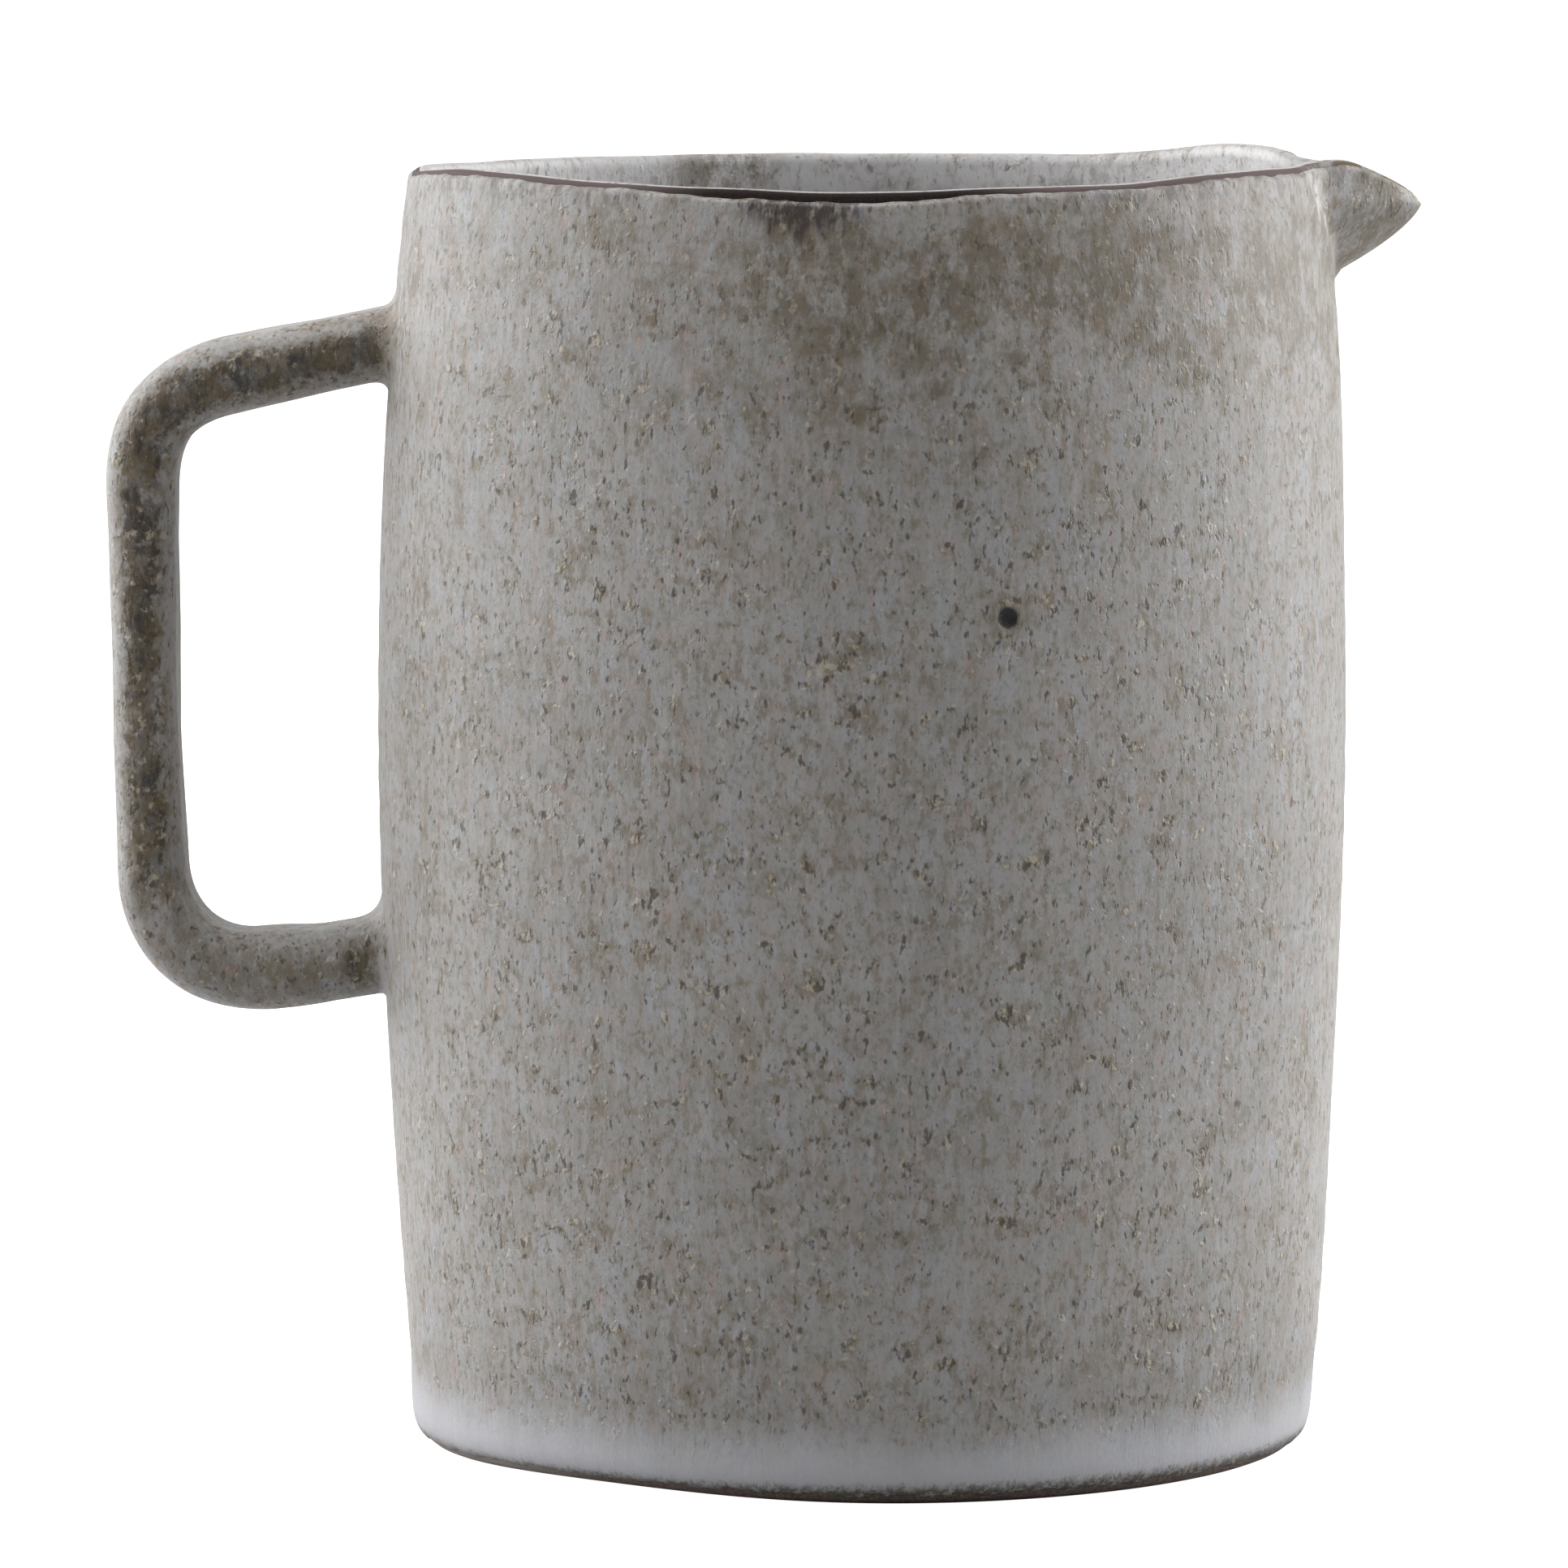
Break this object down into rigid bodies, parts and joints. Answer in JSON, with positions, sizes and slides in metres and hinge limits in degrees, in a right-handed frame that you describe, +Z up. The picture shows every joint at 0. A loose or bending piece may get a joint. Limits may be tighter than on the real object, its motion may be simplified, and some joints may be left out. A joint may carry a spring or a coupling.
{
  "type": "pitcher",
  "caption": "Barrel-shaped stoneware pitcher with a V-shaped pouring spout, a squared strap handle and a speckled matte grey glaze.",
  "frame": {"origin": "centre of the flat foot, on the surface the pitcher stands on", "axes": "+Z up along the axis of the body, +X towards the spout, -X towards the handle"},
  "size_m": [0.1628, 0.12, 0.1597],
  "materials": {
    "stoneware": "bare fired clay",
    "grey_glaze": "matte speckled grey glaze"
  },
  "bodies": {
    "root": {"wall": "stoneware", "floor": "stoneware", "spout": "stoneware", "handle": "stoneware", "handle_top_joint": "grey_glaze", "handle_bottom_joint": "grey_glaze", "outer_glaze": "grey_glaze", "inner_glaze": "grey_glaze", "spout_glaze": "grey_glaze", "handle_glaze": "grey_glaze"}
  },
  "joints": []
}
